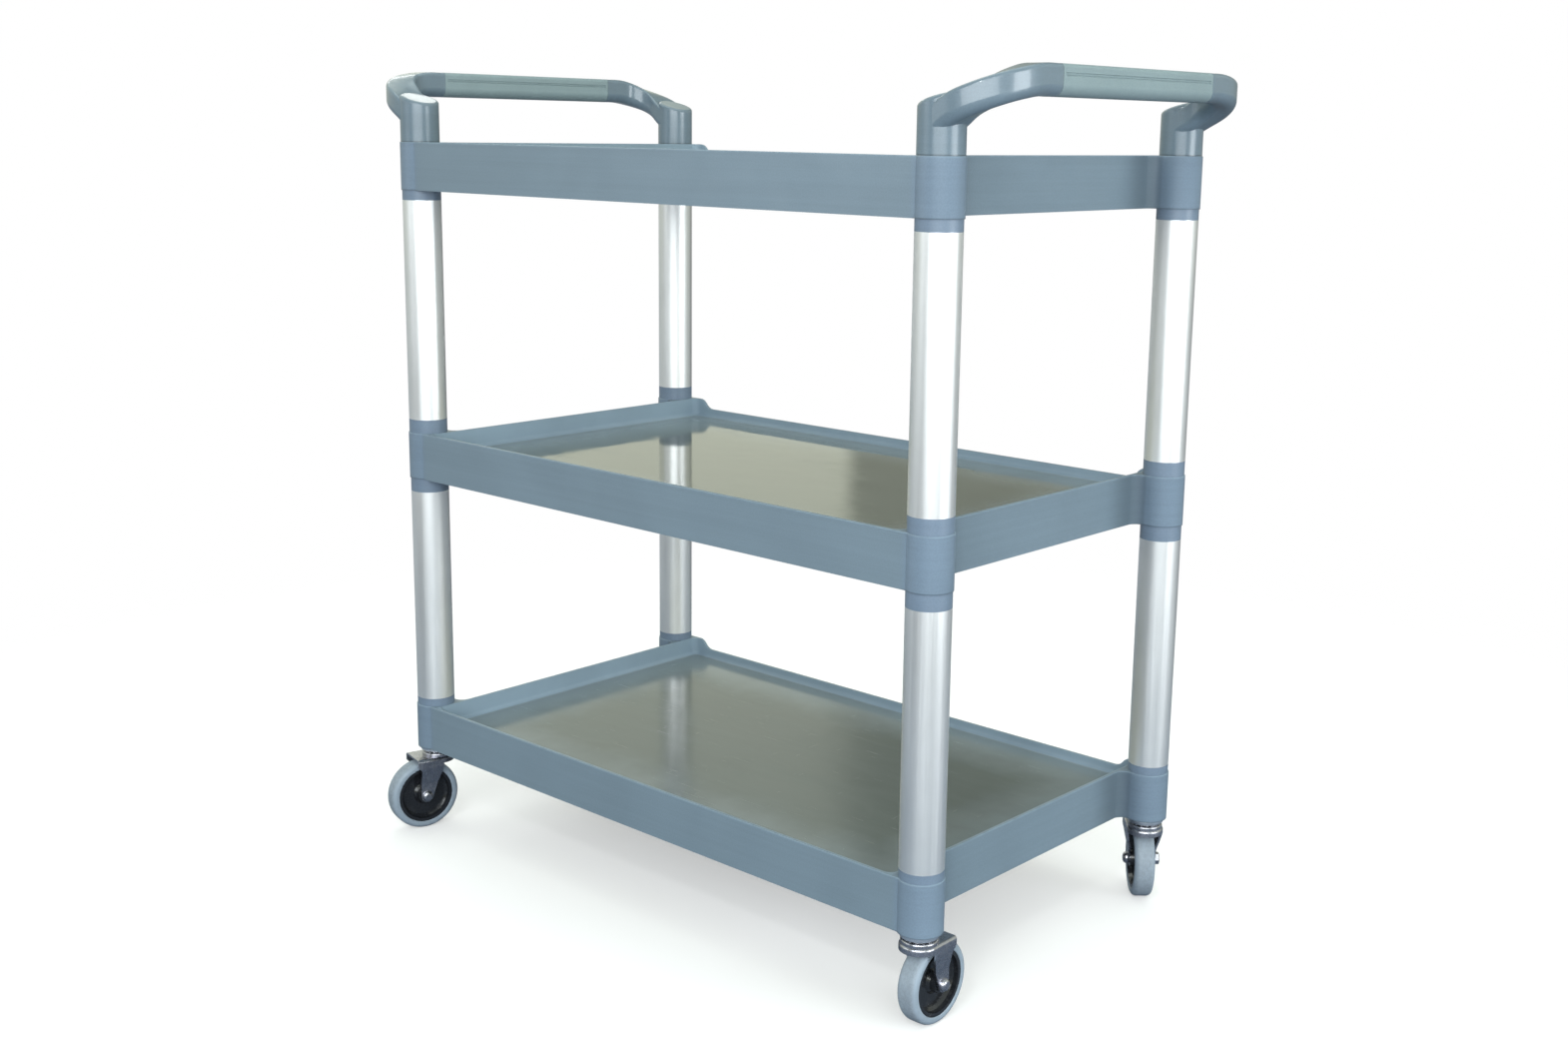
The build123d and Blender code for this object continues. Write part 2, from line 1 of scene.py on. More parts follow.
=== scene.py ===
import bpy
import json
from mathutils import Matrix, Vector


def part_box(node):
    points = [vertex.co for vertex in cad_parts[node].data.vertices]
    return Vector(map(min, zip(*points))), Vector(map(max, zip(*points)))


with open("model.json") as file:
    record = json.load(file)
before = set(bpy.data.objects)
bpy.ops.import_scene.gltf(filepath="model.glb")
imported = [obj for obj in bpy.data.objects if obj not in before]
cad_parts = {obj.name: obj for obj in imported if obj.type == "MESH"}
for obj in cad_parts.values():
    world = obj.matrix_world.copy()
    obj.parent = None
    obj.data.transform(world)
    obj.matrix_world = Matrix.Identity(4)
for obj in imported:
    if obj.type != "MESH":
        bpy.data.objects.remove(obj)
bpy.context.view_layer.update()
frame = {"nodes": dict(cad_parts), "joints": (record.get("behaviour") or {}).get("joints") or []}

# Looks of the food service trolley.
# Metres, in the CAD model's own frame: +X to the right end, +Y to the back, +Z up.
import json
from math import cos, radians, sin

import bpy
from mathutils import Matrix, Vector

SHELVES = ("bottom_shelf", "middle_shelf", "top_shelf")
CORNERS = ("front_left", "front_right", "back_left", "back_right")

# Camera
CAMERA_PLACE = Vector((1.4518, -1.5525, 0.9029))
CAMERA_YAW = radians(41.478)
CAMERA_PITCH = radians(11.358)
CAMERA_ROLL = radians(0.902)
CAMERA_LENS = 41.04
CAMERA_SHIFT = (-0.0273, -0.0209)
CAMERA_CLIP = (0.05, 60.0)
SENSOR_WIDTH = 36.0

# Floor
FLOOR_RADIUS = 9.0
FLOOR_SIDES = 96
FLOOR_FADE = (0.75, 1.7)  # how far out the floor starts to turn clear, and is all clear
FLOOR_WHITE = (0.66, 0.65, 0.65)  # its colour to the camera
FLOOR_GLOW = 0.34  # light of its own, for the camera only
FLOOR_REFLECTED = (0.15, 0.185, 0.25)  # its colour in reflections and in bounced light

# Room
BACKGROUND = (1.0, 1.0, 1.0)
ROOM_BY_HEIGHT = (  # from 0, straight down, to 1, straight up
    (0.0, (0.22, 0.25, 0.29)),
    (0.47, (0.25, 0.28, 0.31)),
    (0.52, (0.62, 0.645, 0.53)),
    (0.62, (0.66, 0.68, 0.56)),
    (0.78, (0.58, 0.64, 0.57)),
    (1.0, (0.62, 0.70, 0.66)),
)
# Brightness by heading, which runs from -1, straight left, to 1, straight right.
ROOM_LEFT = (-0.657, -0.648, 1.50, 0.54)  # bright up to the first heading, dim from the second
ROOM_RIGHT = (-0.1, 0.5, 0.0, 0.75)  # added: nothing up to the first heading, all of it from the second

# Lights
WINDOW_COLOUR = (0.90, 0.96, 1.0)
LAMP_COLOUR = (0.97, 0.99, 1.0)
STRIP_COLOUR = (1.0, 1.0, 1.0)
CEILING_COLOUR = (0.95, 1.0, 0.95)
FILL_COLOUR = (0.95, 0.98, 1.0)
MATTE_GAIN = 1.05  # makes up for the sheen that the shelves lose

# Base colours, linear
SHELF_BLUE = (0.139, 0.187, 0.228)
# The bosses' colour holds a painted bluish sheen.
BOSS_SHEEN_BLUE = (0.138, 0.187, 0.244)
DECK_OLIVE = (0.120, 0.139, 0.121)
# The deck's colour by the walls is a painted reflection of the walls.
DECK_WALL_REFLECTION = (0.240, 0.290, 0.315)
BOTTOM_DECK = (0.090, 0.111, 0.104)
PLUG_BLUE = (0.132, 0.178, 0.240)
HANDLE_GREEN = (0.115, 0.159, 0.195)
GRIP_GREEN = (0.190, 0.250, 0.265)
SOCKET_BLACK = (0.03, 0.032, 0.035)
ALUMINIUM = (0.84, 0.84, 0.835)
ZINC = (0.40, 0.40, 0.44)
ZINC_STAIN = (0.30, 0.26, 0.20)
CHROME = (0.80, 0.81, 0.83)
HUB_BLACK = (0.012, 0.013, 0.016)
HUB_DUST = (0.35, 0.34, 0.31)
HUB_SPECK = (0.4, 0.4, 0.38)
TYRE_GREY = (0.238, 0.288, 0.345)
TYRE_DIRT = (0.13, 0.125, 0.115)

# Zones of a shelf
BOSS_REACH_X = 0.0483  # from the bosses' outermost point to the middle of the end walls
BOSS_REACH_Y = 0.0063  # the same to the middle of the long walls
BOSS_BLEND = 0.012  # the walls' colour turns into the bosses' painted bluish sheen over this
DECK_HEIGHT = 0.0325  # just under the deck's surface, above the shelf's lower edge
DECK_BELOW_RIM = 0.018  # the deck's surface is further below the rim than this
# How far in from the walls the painted reflection on the deck reaches, and how much its edge wanders.
DECK_REFLECTION_WIDTH = 0.12
DECK_REFLECTION_WANDER = 0.012
RIM_WEAR_AND_SHEEN = (0.0022, 0.0004)  # below the rim: where the wear and painted highlight start, and are full
# Painted shade on the end walls by the bosses, where shadow falls.
CORNER_SHADE_START = (0.115, 0.064)  # along the end walls, in from the bosses' outermost point
CORNER_SHADE_STOP = (0.036, 0.030)  # the same, where the painted shade ends at the boss
CORNER_SHADE_DEPTH = (0.012, 0.018)  # out from the middle of the end walls
BOSS_JOINT_DIRT = (0.0006, 0.0018)  # above the lower edge: where the dirt starts to fade, and is gone

# Heights on a handle, from the top shelf's highest point
POST_JOINT_DIRT = (0.0008, 0.0018)  # where the dirt starts to fade, and is gone
POST_POLISH = (0.025, 0.055)  # dull up to the first, and polished from the second

# Wheels
HUB_RINGS = 5200.0  # radians to the metre, for faint moulded rings 1.2 mm apart
TYRE_RINGS = 4200.0  # the same, for 1.5 mm
TYRE_TREAD = (0.0425, 0.0447)  # radius where the side ends, and where the tread starts
TYRE_SEAM = (0.0002, 0.0007)  # half the width of the mould line, at its top and at its foot

shelf_boxes = {name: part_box(name) for name in SHELVES}


# ---- Node helpers ----


class Nodes:
    """Adds nodes to an emptied tree. Each helper returns the output to use next."""

    def __init__(self, tree):
        self.tree = tree
        tree.nodes.clear()

    def new(self, kind):
        return self.tree.nodes.new(kind)

    def put(self, socket, value):
        """Link an output, or set a plain value."""
        if isinstance(value, bpy.types.NodeSocket):
            self.tree.links.new(value, socket)
        elif socket.type == "RGBA":
            socket.default_value = (*value, 1.0)
        else:
            socket.default_value = value

    def math(self, operation, a, b=0.0):
        node = self.new("ShaderNodeMath")
        node.operation = operation
        self.put(node.inputs[0], a)
        self.put(node.inputs[1], b)
        return node.outputs[0]

    def plus(self, a, b):
        return self.math("ADD", a, b)

    def minus(self, a, b):
        return self.math("SUBTRACT", a, b)

    def times(self, a, b):
        return self.math("MULTIPLY", a, b)

    def size_of(self, value):
        """A number without its sign."""
        return self.math("ABSOLUTE", value)

    def length(self, a, b):
        """The long side of a right triangle."""
        return self.math("SQRT", self.plus(self.times(a, a), self.times(b, b)))

    def vector_math(self, operation, a, b=(0.0, 0.0, 0.0)):
        """Returns both outputs, Vector and Value. Only one of them is in use."""
        node = self.new("ShaderNodeVectorMath")
        node.operation = operation
        self.put(node.inputs[0], a)
        self.put(node.inputs[1], b)
        return node.outputs

    def spread(self, value, low, high, to_low=0.0, to_high=1.0):
        """Map a range onto another, eased, and held at both ends."""
        node = self.new("ShaderNodeMapRange")
        node.interpolation_type = "SMOOTHSTEP"
        self.put(node.inputs["Value"], value)
        node.inputs["From Min"].default_value = low
        node.inputs["From Max"].default_value = high
        node.inputs["To Min"].default_value = to_low
        node.inputs["To Max"].default_value = to_high
        return node.outputs["Result"]

    def blend(self, factor, a, b):
        """Mix two colours. The node keeps its colour sockets after those for numbers and vectors."""
        node = self.new("ShaderNodeMix")
        node.data_type = "RGBA"
        self.put(node.inputs[0], factor)
        self.put(node.inputs[6], a)
        self.put(node.inputs[7], b)
        return node.outputs[2]

    def blend_numbers(self, factor, a, b):
        node = self.new("ShaderNodeMix")
        self.put(node.inputs[0], factor)
        self.put(node.inputs[2], a)
        self.put(node.inputs[3], b)
        return node.outputs[0]

    def blend_shaders(self, factor, a, b):
        node = self.new("ShaderNodeMixShader")
        self.put(node.inputs[0], factor)
        self.put(node.inputs[1], a)
        self.put(node.inputs[2], b)
        return node.outputs[0]


class Finish(Nodes):
    """A node-based material. Its patterns are laid out in the object's own metres."""

    def __init__(self, name):
        self.material = bpy.data.materials.new(name)
        self.material.use_nodes = True
        super().__init__(self.material.node_tree)
        self.surface = self.new("ShaderNodeOutputMaterial").inputs["Surface"]
        self.shader = self.new("ShaderNodeBsdfPrincipled")
        self.put(self.surface, self.shader.outputs["BSDF"])
        self.place = self.new("ShaderNodeTexCoord").outputs["Object"]
        split = self.new("ShaderNodeSeparateXYZ")
        self.put(split.inputs[0], self.place)
        self.x, self.y, self.z = split.outputs

    def noise(self, scale, detail, rough, stretch=None, warp=0.0):
        """Clouds, with about scale features to the metre. Stretch multiplies that along each axis."""
        place = self.place
        if stretch is not None:
            place = self.vector_math("MULTIPLY", self.place, stretch)["Vector"]
        node = self.new("ShaderNodeTexNoise")
        self.put(node.inputs["Vector"], place)
        node.inputs["Scale"].default_value = scale
        node.inputs["Detail"].default_value = detail
        node.inputs["Roughness"].default_value = rough
        node.inputs["Distortion"].default_value = warp
        return node.outputs["Fac"]

    def cells(self, scale):
        """Distance from the middle of the nearest of many small cells."""
        node = self.new("ShaderNodeTexVoronoi")
        self.put(node.inputs["Vector"], self.place)
        node.inputs["Scale"].default_value = scale
        return node.outputs["Distance"]

    def shade(self, colour, factor):
        """Multiply a colour by a number that varies over the surface."""
        node = self.new("ShaderNodeVectorMath")
        node.operation = "SCALE"
        self.put(node.inputs[0], colour)
        self.put(node.inputs["Scale"], factor)
        return node.outputs[0]

    def bump(self, height, distance, strength, under=None):
        node = self.new("ShaderNodeBump")
        node.inputs["Strength"].default_value = strength
        node.inputs["Distance"].default_value = distance
        self.put(node.inputs["Height"], height)
        if under is not None:
            self.put(node.inputs["Normal"], under)
        return node.outputs["Normal"]

    def facing_up(self):
        """1 on surfaces that face up, 0 on walls and -1 underneath."""
        split = self.new("ShaderNodeSeparateXYZ")
        self.put(split.inputs[0], self.new("ShaderNodeNewGeometry").outputs["Normal"])
        return split.outputs[2]

    def finish(self, **sockets):
        for name, value in sockets.items():
            self.put(self.shader.inputs[name.replace("_", " ")], value)
        return self.material


def toned(colour, factor):
    """A colour made lighter or darker."""
    return tuple(channel * factor for channel in colour)


# ---- Plastics ----


def scuffs(finish, density=0.68):
    """Sparse short rubs, mostly level, as crates and tables leave on the walls. 0 to 1."""
    fine = finish.noise(1.0, 3.0, 0.6, stretch=(38.0, 38.0, 950.0))
    patches = finish.noise(9.0, 2.0, 0.5)
    marks = finish.spread(fine, density, density + 0.06)
    return finish.times(marks, finish.spread(patches, 0.52, 0.66))


def moulded_colour(finish, colour, streaks=0.035):
    """Cloudy pigment, level flow marks and a little dust."""
    cloud = finish.spread(finish.noise(6.0, 3.0, 0.55, warp=0.6), 0.3, 0.7, 0.96, 1.04)
    flow = finish.noise(1.0, 4.0, 0.6, stretch=(2.2, 2.2, 150.0))
    flow = finish.spread(flow, 0.3, 0.7, 1.0 - streaks, 1.0 + streaks)
    speck = finish.spread(finish.noise(600.0, 2.0, 0.7), 0.3, 0.7, 0.955, 1.045)
    return finish.shade(colour, finish.times(finish.times(cloud, flow), speck))


def pebble(finish, size_mm=1.1, depth_mm=0.05):
    return finish.bump(finish.noise(1000.0 / size_mm, 3.0, 0.6), depth_mm / 1000.0, 0.5)


def wall_lines(high):
    """How far out the middles of the end walls and of the long walls are."""
    return high[0] - BOSS_REACH_X, high[1] - BOSS_REACH_Y


def boss_zone(finish, high):
    """1 on the bosses. 0 on the long walls and inside the end walls."""
    end_wall, _ = wall_lines(high)
    return finish.spread(finish.size_of(finish.x), end_wall, end_wall + BOSS_BLEND)


def inner_light_zone(finish, low, high):
    """Where the painted light goes: 1 above the deck's surface and inside the middles of the walls."""
    end_wall, long_wall = wall_lines(high)
    inside_x = finish.math("LESS_THAN", finish.size_of(finish.x), end_wall)
    inside_y = finish.math("LESS_THAN", finish.size_of(finish.y), long_wall)
    above_deck = finish.math("GREATER_THAN", finish.z, low[2] + DECK_HEIGHT)
    return finish.times(finish.times(inside_x, inside_y), above_deck)


def corner_shade_zone(finish, high):
    """Where the painted shade goes: 1 on the outside of the end walls by the bosses, fading away from
    them.
    """
    end_wall, _ = wall_lines(high)
    along = finish.size_of(finish.y)
    beyond_wall = finish.minus(finish.size_of(finish.x), end_wall)
    start, full = (high[1] - inset for inset in CORNER_SHADE_START)
    near_boss = finish.spread(along, start, full)
    fade, stop = (high[1] - inset for inset in CORNER_SHADE_STOP)
    before_boss = finish.spread(along, fade, stop, 1.0, 0.0)
    outside = finish.math("GREATER_THAN", beyond_wall, 0.0)
    short_of_boss = finish.spread(beyond_wall, *CORNER_SHADE_DEPTH, 1.0, 0.0)
    zone = finish.times(finish.times(near_boss, before_boss), outside)
    return finish.times(zone, short_of_boss)


def wall_reflection_zone(finish, high, strength):
    """Painted reflection of the walls: strongest where the deck meets the walls, and 0 in its middle.
    """
    end_wall, long_wall = wall_lines(high)
    gap_x = finish.minus(end_wall, finish.size_of(finish.x))
    gap_y = finish.minus(long_wall, finish.size_of(finish.y))
    wander = finish.noise(9.0, 3.0, 0.6)
    wander = finish.spread(wander, 0.3, 0.7, -DECK_REFLECTION_WANDER, DECK_REFLECTION_WANDER)
    gap = finish.plus(finish.math("MINIMUM", gap_x, gap_y), wander)
    return finish.spread(gap, 0.0, DECK_REFLECTION_WIDTH, strength, 0.0)


def wall_colour(finish, low, high, marks):
    """The walls and bosses of a shelf."""
    # Painted sheen: the bosses are painted a little bluer than the walls, standing in for the bluish
    # light on them.
    boss = boss_zone(finish, high)
    wall = moulded_colour(finish, SHELF_BLUE)
    wall = finish.blend(boss, wall, moulded_colour(finish, BOSS_SHEEN_BLUE))
    wall = finish.blend(finish.times(marks, 0.35), wall, toned(SHELF_BLUE, 1.5))
    # Painted light: the inside of the walls is painted paler in patches, standing in for light falling
    # on them.
    inner_painted_light = finish.spread(finish.noise(12.0, 3.0, 0.6), 0.3, 0.7, 0.75, 1.0)
    inner_painted_light = finish.times(inner_light_zone(finish, low, high), inner_painted_light)
    wall = finish.blend(inner_painted_light, wall, toned(SHELF_BLUE, 1.5))
    # Painted shade: the end walls are painted darker towards the bosses, where shadow falls by the
    # bosses' necks.
    corner_shade = finish.times(corner_shade_zone(finish, high), 0.46)
    wall = finish.blend(corner_shade, wall, toned(SHELF_BLUE, 0.3))
    # Dirt has settled in the joint under each boss.
    fade, gone = (low[2] + height for height in BOSS_JOINT_DIRT)
    joint = finish.spread(finish.z, fade, gone, 0.5, 0.0)
    wall = finish.blend(finish.times(boss, joint), wall, toned(BOSS_SHEEN_BLUE, 0.3))
    # The rim is painted paler along its top edge: partly wear, partly a painted highlight.
    start, full = (high[2] - drop for drop in RIM_WEAR_AND_SHEEN)
    wear_and_sheen = finish.spread(finish.noise(60.0, 3.0, 0.6), 0.3, 0.6, 0.35, 1.0)
    wear_and_sheen = finish.times(finish.spread(finish.z, start, full), wear_and_sheen)
    return finish.blend(finish.times(wear_and_sheen, 0.5), wall, toned(SHELF_BLUE, 1.45))


def deck_hairs(finish):
    """Hairline scratches along the deck and across it. 0 to 1."""
    along = finish.noise(1.0, 2.0, 0.5, stretch=(16.0, 900.0, 1.0), warp=0.25)
    across = finish.noise(1.0, 2.0, 0.5, stretch=(700.0, 26.0, 1.0), warp=0.3)
    return finish.math("MAXIMUM", finish.spread(along, 0.7, 0.74), finish.spread(across, 0.72, 0.76))


def deck_colour(finish, high, base, wall_reflection_strength, smear, hairs):
    tone = finish.shade(base, finish.spread(smear, 0.3, 0.75, 0.94, 1.06))
    tone = finish.blend(finish.times(hairs, 0.07), tone, toned(base, 1.7))
    # Painted reflection: near the walls the deck is painted blue, standing in for the walls' reflection
    # in it.
    return finish.blend(wall_reflection_zone(finish, high, wall_reflection_strength), tone, DECK_WALL_REFLECTION)


def wall_roughness(finish, marks):
    rough = finish.spread(finish.noise(25.0, 3.0, 0.6), 0.3, 0.7, 0.36, 0.47)
    return finish.plus(rough, finish.times(marks, 0.15))


def deck_roughness(finish, base, smear, hairs):
    """Smears, swirls and scratches dull the polish unevenly."""
    swirl = finish.noise(9.0, 4.0, 0.6, warp=2.2)
    haze = finish.times(finish.spread(smear, 0.35, 0.75), 0.6)
    haze = finish.plus(haze, finish.spread(swirl, 0.5, 0.8, 0.0, 0.5))
    rough = finish.plus(finish.times(haze, 0.12), base)
    return finish.plus(rough, finish.times(hairs, 0.12))


def shelf_relief(finish, deck, hairs):
    """A moulded grain, nearly worn off the deck, on slightly wavy surfaces."""
    grain = finish.times(finish.noise(850.0, 3.0, 0.6), finish.spread(deck, 0.0, 1.0, 1.0, 0.06))
    normal = finish.bump(grain, 0.00005, 0.5)
    ripple = finish.noise(7.0, 2.0, 0.5, stretch=(1.0, 1.6, 1.0))
    normal = finish.bump(ripple, 0.0012, 0.25, under=normal)
    return finish.bump(hairs, 0.00002, 0.4, under=normal)


def shelf_finish(name, deck_rough, deck_base, wall_reflection_strength):
    low, high = shelf_boxes[name]
    finish = Finish(name + "_moulding")
    # The deck is polished by use: only the upward face inside the walls, clear of the rim.
    up = finish.facing_up()
    below_rim = finish.math("LESS_THAN", finish.z, high[2] - DECK_BELOW_RIM)
    deck = finish.times(finish.spread(up, 0.75, 0.97), below_rim)
    under = finish.spread(up, -0.9, -0.5, 1.0, 0.0)
    marks = scuffs(finish)
    smear = finish.noise(1.0, 4.0, 0.62, stretch=(5.0, 22.0, 1.0), warp=0.8)
    hairs = deck_hairs(finish)
    on_walls = wall_colour(finish, low, high, marks)
    on_deck = deck_colour(finish, high, deck_base, wall_reflection_strength, smear, hairs)
    colour = finish.blend(deck, on_walls, on_deck)
    # Painted shade: faces that look down are painted darker.
    colour = finish.blend(finish.times(under, 0.35), colour, toned(SHELF_BLUE, 0.8))
    rough_deck = deck_roughness(finish, deck_rough, smear, hairs)
    rough = finish.blend_numbers(deck, wall_roughness(finish, marks), rough_deck)
    normal = shelf_relief(finish, deck, hairs)
    return finish.finish(Base_Color=colour, Roughness=rough, Normal=normal, IOR=1.5)


def plug_finish():
    finish = Finish("plug_moulding")
    colour = moulded_colour(finish, PLUG_BLUE, streaks=0.03)
    marks = scuffs(finish, 0.66)
    colour = finish.blend(finish.times(marks, 0.4), colour, toned(PLUG_BLUE, 1.6))
    rough = finish.spread(finish.noise(40.0, 3.0, 0.6), 0.3, 0.7, 0.38, 0.5)
    return finish.finish(Base_Color=colour, Roughness=rough, Normal=pebble(finish, 0.9, 0.04), IOR=1.5)


def handle_finish():
    finish = Finish("handle_moulding")
    colour = moulded_colour(finish, HANDLE_GREEN, streaks=0.025)
    # Hands have polished the handle in patches. Its posts are duller, low down.
    polish = finish.spread(finish.noise(14.0, 3.0, 0.55, warp=0.5), 0.35, 0.7)
    rough = finish.spread(polish, 0.0, 1.0, 0.33, 0.28)
    coat_rough = finish.spread(polish, 0.0, 1.0, 0.09, 0.06)
    _, top_shelf_high = shelf_boxes["top_shelf"]
    above_shelf = finish.minus(finish.z, top_shelf_high[2])
    coat = finish.spread(above_shelf, *POST_POLISH, 0.08, 0.34)
    dust = finish.spread(finish.noise(320.0, 3.0, 0.7), 0.62, 0.75)
    colour = finish.blend(finish.times(dust, 0.15), colour, toned(HANDLE_GREEN, 1.5))
    # Dirt has settled where the posts stand on the shelf.
    joint = finish.spread(finish.size_of(above_shelf), *POST_JOINT_DIRT, 0.65, 0.0)
    colour = finish.blend(joint, colour, toned(HANDLE_GREEN, 0.3))
    normal = finish.bump(finish.noise(1200.0, 2.0, 0.6), 0.00003, 0.3)
    return finish.finish(Base_Color=colour, Roughness=rough, Normal=normal, IOR=1.5,
                         Coat_Weight=coat, Coat_Roughness=coat_rough)


def grip_finish():
    finish = Finish("grip_moulding")
    colour = moulded_colour(finish, GRIP_GREEN, streaks=0.02)
    grime = finish.spread(finish.noise(30.0, 4.0, 0.65), 0.5, 0.75)
    colour = finish.blend(finish.times(grime, 0.14), colour, toned(GRIP_GREEN, 0.7))
    rough = finish.spread(finish.noise(60.0, 3.0, 0.6), 0.3, 0.7, 0.42, 0.55)
    normal = finish.bump(finish.cells(900.0), 0.00009, 0.6)
    return finish.finish(Base_Color=colour, Roughness=rough, Normal=normal, IOR=1.5)


def socket_finish():
    finish = Finish("socket_moulding")
    colour = moulded_colour(finish, SOCKET_BLACK, streaks=0.04)
    rough = finish.spread(finish.noise(50.0, 3.0, 0.6), 0.3, 0.7, 0.45, 0.6)
    return finish.finish(Base_Color=colour, Roughness=rough, Normal=pebble(finish), IOR=1.5)


# ---- Metals ----


def tube_finish():
    finish = Finish("anodised_tube")
    drawn = finish.noise(1.0, 3.0, 0.6, stretch=(1500.0, 1500.0, 5.0))
    cloud = finish.noise(22.0, 3.0, 0.6, stretch=(1.0, 1.0, 0.5))
    colour = finish.shade(ALUMINIUM, finish.spread(cloud, 0.3, 0.7, 0.965, 1.02))
    rubs = finish.spread(finish.noise(1.0, 3.0, 0.6, stretch=(60.0, 60.0, 1300.0)), 0.68, 0.73)
    rubs = finish.times(rubs, finish.spread(finish.noise(11.0, 2.0, 0.5), 0.55, 0.68))
    colour = finish.blend(finish.times(rubs, 0.35), colour, toned(ALUMINIUM, 0.72))
    rough = finish.spread(drawn, 0.3, 0.7, 0.38, 0.46)
    rough = finish.plus(rough, finish.times(rubs, 0.1))
    normal = finish.bump(drawn, 0.00002, 0.35)
    normal = finish.bump(finish.noise(2400.0, 2.0, 0.6), 0.00001, 0.3, under=normal)
    return finish.finish(Base_Color=colour, Metallic=1.0, Roughness=rough, Normal=normal)


def zinc_finish():
    finish = Finish("zinc_plate")
    cloud = finish.spread(finish.noise(85.0, 4.0, 0.6, warp=0.8), 0.3, 0.7, 0.93, 1.05)
    spangle = finish.spread(finish.cells(420.0), 0.0, 0.8, 0.95, 1.04)
    colour = finish.shade(ZINC, finish.times(cloud, spangle))
    stain = finish.spread(finish.noise(45.0, 4.0, 0.7, warp=1.0), 0.6, 0.78)
    colour = finish.blend(finish.times(stain, 0.28), colour, ZINC_STAIN)
    rough = finish.spread(finish.noise(160.0, 3.0, 0.6), 0.3, 0.7, 0.2, 0.34)
    rough = finish.plus(rough, finish.times(stain, 0.12))
    rolled = finish.noise(1.0, 3.0, 0.6, stretch=(240.0, 240.0, 1800.0))
    normal = finish.bump(rolled, 0.00002, 0.3)
    return finish.finish(Base_Color=colour, Metallic=1.0, Roughness=rough, Normal=normal)


def chrome_finish():
    finish = Finish("polished_steel")
    cloud = finish.noise(120.0, 3.0, 0.6)
    colour = finish.shade(CHROME, finish.spread(cloud, 0.3, 0.7, 0.94, 1.03))
    rough = finish.spread(finish.noise(260.0, 3.0, 0.6), 0.3, 0.7, 0.06, 0.15)
    normal = finish.bump(finish.noise(900.0, 2.0, 0.6), 0.00001, 0.3)
    return finish.finish(Base_Color=colour, Metallic=1.0, Roughness=rough, Normal=normal)


# ---- Wheels ----


def round_the_axle(finish, corner):
    """Distances from the wheel's own axle, and from its middle along the axle."""
    low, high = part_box("wheel_hub_" + corner)
    middle = (Vector(low) + Vector(high)) / 2
    axis = next(joint["axis"] for joint in frame["joints"] if joint["name"] == "roll_" + corner)
    offset = finish.vector_math("SUBTRACT", finish.place, middle)["Vector"]
    across = finish.vector_math("CROSS_PRODUCT", offset, axis)["Vector"]
    radius = finish.vector_math("LENGTH", across)["Value"]
    sideways = finish.vector_math("DOT_PRODUCT", offset, axis)["Value"]
    return radius, finish.size_of(sideways)


def hub_finish(corner):
    finish = Finish("hub_moulding_" + corner)
    radius, _ = round_the_axle(finish, corner)
    dust = finish.spread(finish.noise(90.0, 4.0, 0.65, warp=0.4), 0.5, 0.8)
    speck = finish.spread(finish.noise(900.0, 2.0, 0.7), 0.6, 0.72)
    colour = finish.blend(finish.times(dust, 0.05), HUB_BLACK, HUB_DUST)
    colour = finish.blend(finish.times(speck, 0.05), colour, HUB_SPECK)
    rough = finish.spread(dust, 0.0, 1.0, 0.13, 0.34)
    rings = finish.math("SINE", finish.times(radius, HUB_RINGS))
    normal = finish.bump(rings, 0.000012, 0.5)
    normal = finish.bump(finish.noise(600.0, 2.0, 0.6), 0.00004, 0.3, under=normal)
    return finish.finish(Base_Color=colour, Roughness=rough, Normal=normal, IOR=1.5)


def tyre_finish(corner):
    finish = Finish("tyre_rubber_" + corner)
    radius, sideways = round_the_axle(finish, corner)
    cloud = finish.spread(finish.noise(60.0, 3.0, 0.6), 0.3, 0.7, 0.95, 1.05)
    colour = finish.shade(TYRE_GREY, cloud)
    tread = finish.spread(radius, *TYRE_TREAD)
    scuff = finish.noise(260.0, 4.0, 0.7, warp=0.6)
    dirt = finish.times(tread, finish.spread(scuff, 0.35, 0.7, 0.25, 1.0))
    colour = finish.blend(finish.times(dirt, 0.34), colour, TYRE_DIRT)
    rough = finish.spread(scuff, 0.3, 0.7, 0.42, 0.58)
    rough = finish.plus(rough, finish.times(dirt, 0.2))
    seam = finish.times(finish.spread(sideways, *TYRE_SEAM, 1.0, 0.0), tread)
    rings = finish.math("SINE", finish.times(radius, TYRE_RINGS))
    normal = finish.bump(finish.noise(1100.0, 3.0, 0.6), 0.00006, 0.4)
    normal = finish.bump(rings, 0.00001, 0.3, under=normal)
    normal = finish.bump(seam, 0.00015, 0.4, under=normal)
    return finish.finish(Base_Color=colour, Roughness=rough, Normal=normal, IOR=1.48)


# ---- Materials onto the CAD nodes ----

shelf_looks = {
    "top_shelf": shelf_finish("top_shelf", 0.12, DECK_OLIVE, 0.75),
    "middle_shelf": shelf_finish("middle_shelf", 0.045, DECK_OLIVE, 0.85),
    "bottom_shelf": shelf_finish("bottom_shelf", 0.14, BOTTOM_DECK, 0.72),
}
looks = {
    "plug_plastic": plug_finish(),
    "handle_plastic": handle_finish(),
    "grip_plastic": grip_finish(),
    "socket_plastic": socket_finish(),
    "post_aluminium": tube_finish(),
    "zinc_steel": zinc_finish(),
    "bright_steel": chrome_finish(),
}
hub_looks = {corner: hub_finish(corner) for corner in CORNERS}
tyre_looks = {corner: tyre_finish(corner) for corner in CORNERS}


def look_for(name, slot_name):
    if name in shelf_looks:
        return shelf_looks[name]
    for prefix, choices in (("wheel_hub_", hub_looks), ("wheel_tyre_", tyre_looks)):
        if name.startswith(prefix):
            return choices[name[len(prefix):]]
    return looks[slot_name]


for name, node in sorted(frame["nodes"].items()):
    for slot in node.material_slots:
        slot.material = look_for(name, slot.material.name.split(".")[0])


# ---- Floor, room, lights and camera ----


